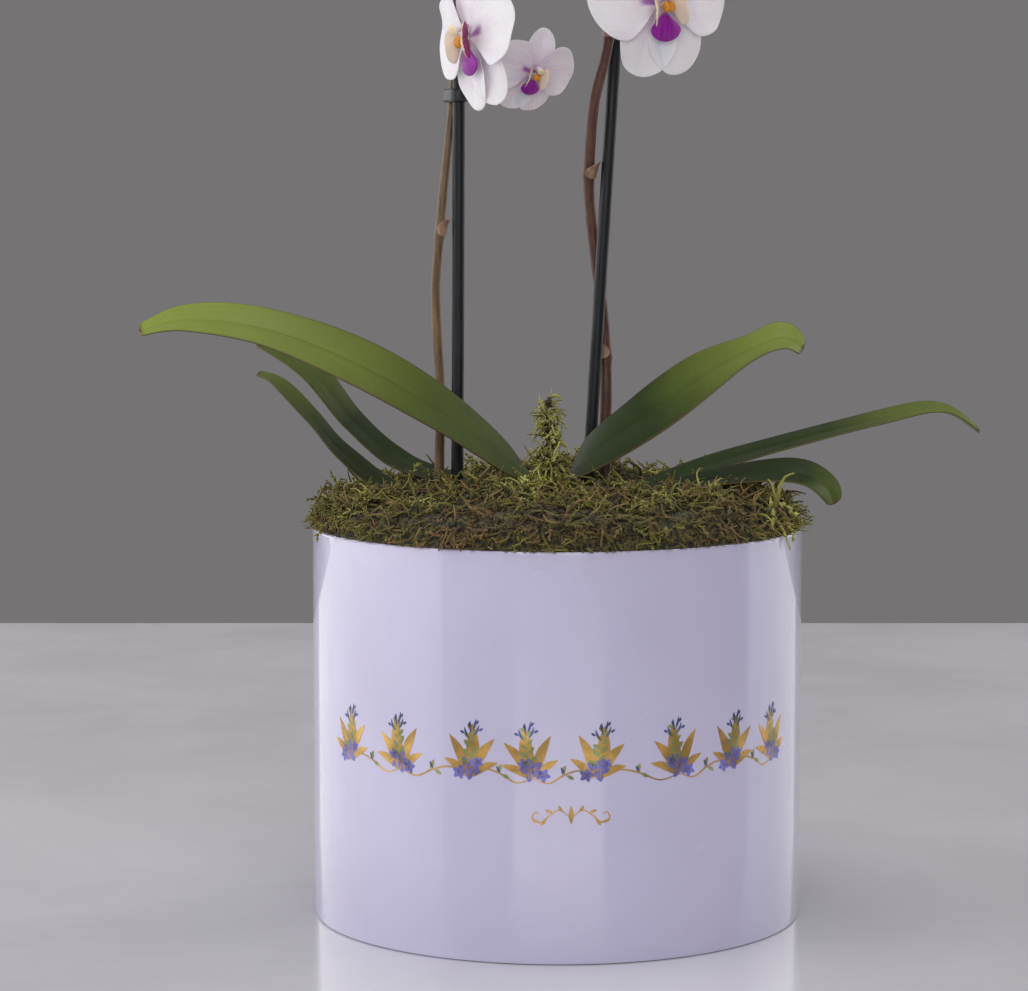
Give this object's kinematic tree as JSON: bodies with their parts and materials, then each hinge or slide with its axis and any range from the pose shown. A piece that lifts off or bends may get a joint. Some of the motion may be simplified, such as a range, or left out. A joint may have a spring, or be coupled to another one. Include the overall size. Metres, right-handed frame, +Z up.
{
  "type": "potted orchid",
  "caption": "White moth orchid with purple lips on two staked spikes, with broad leaves and moss, in a round lavender pot.",
  "frame": {"origin": "centre of the pot's flat underside, at floor level", "axes": "+Z up along the pot's axis, the plant's face and the pot's printed side towards -Y, +X to the right of someone who faces it"},
  "size_m": [0.3127, 0.18, 0.4863],
  "materials": {
    "lavender_gloss": "smooth lavender gloss",
    "nursery_plastic": "thin dark moulded plastic",
    "packing_foam": "dry packing foam",
    "bark": "coarse damp orchid bark",
    "moss": "matted dry and green moss strands",
    "crown_green": "fleshy green stem and grey-green roots",
    "leaf_green": "waxy green leaf, darker above",
    "stake_black": "black coated rod",
    "spike_brown": "smooth red-brown to olive flower spike",
    "petal_white": "soft white petal with a faint lilac flush",
    "lip_magenta": "velvety magenta-purple lip",
    "column_white": "waxy white column with a yellow throat",
    "bud_pale": "pale green-white closed bud"
  },
  "bodies": {
    "root": {"bark_medium": "bark", "crown_and_roots": "crown_green", "leaf_back_left": "leaf_green", "leaf_back_right": "leaf_green", "leaf_low_left": "leaf_green", "leaf_low_right": "leaf_green", "leaf_upper_left": "leaf_green", "leaf_upper_right": "leaf_green", "left_bud_1": "bud_pale", "left_bud_2": "bud_pale", "left_clip_lower": "stake_black", "left_clip_upper": "stake_black", "left_flower_1_column": "column_white", "left_flower_1_lip": "lip_magenta", "left_flower_1_petals": "petal_white", "left_flower_1_sepals": "petal_white", "left_flower_2_column": "column_white", "left_flower_2_lip": "lip_magenta", "left_flower_2_petals": "petal_white", "left_flower_2_sepals": "petal_white", "left_flower_3_column": "column_white", "left_flower_3_lip": "lip_magenta", "left_flower_3_petals": "petal_white", "left_flower_3_sepals": "petal_white", "left_flower_4_column": "column_white", "left_flower_4_lip": "lip_magenta", "left_flower_4_petals": "petal_white", "left_flower_4_sepals": "petal_white", "left_spike": "spike_brown", "left_stake": "stake_black", "moss_bed": "moss", "moss_clump_left": "moss", "moss_clump_right": "moss", "moss_tuft_front": "moss", "nursery_pot": "nursery_plastic", "packing_ring": "packing_foam", "pot_shell": "lavender_gloss", "right_bud_1": "bud_pale", "right_bud_2": "bud_pale", "right_clip_lower": "stake_black", "right_clip_upper": "stake_black", "right_flower_1_column": "column_white", "right_flower_1_lip": "lip_magenta", "right_flower_1_petals": "petal_white", "right_flower_1_sepals": "petal_white", "right_flower_2_column": "column_white", "right_flower_2_lip": "lip_magenta", "right_flower_2_petals": "petal_white", "right_flower_2_sepals": "petal_white", "right_flower_3_column": "column_white", "right_flower_3_lip": "lip_magenta", "right_flower_3_petals": "petal_white", "right_flower_3_sepals": "petal_white", "right_flower_4_column": "column_white", "right_flower_4_lip": "lip_magenta", "right_flower_4_petals": "petal_white", "right_flower_4_sepals": "petal_white", "right_spike": "spike_brown", "right_stake": "stake_black"}
  },
  "joints": []
}
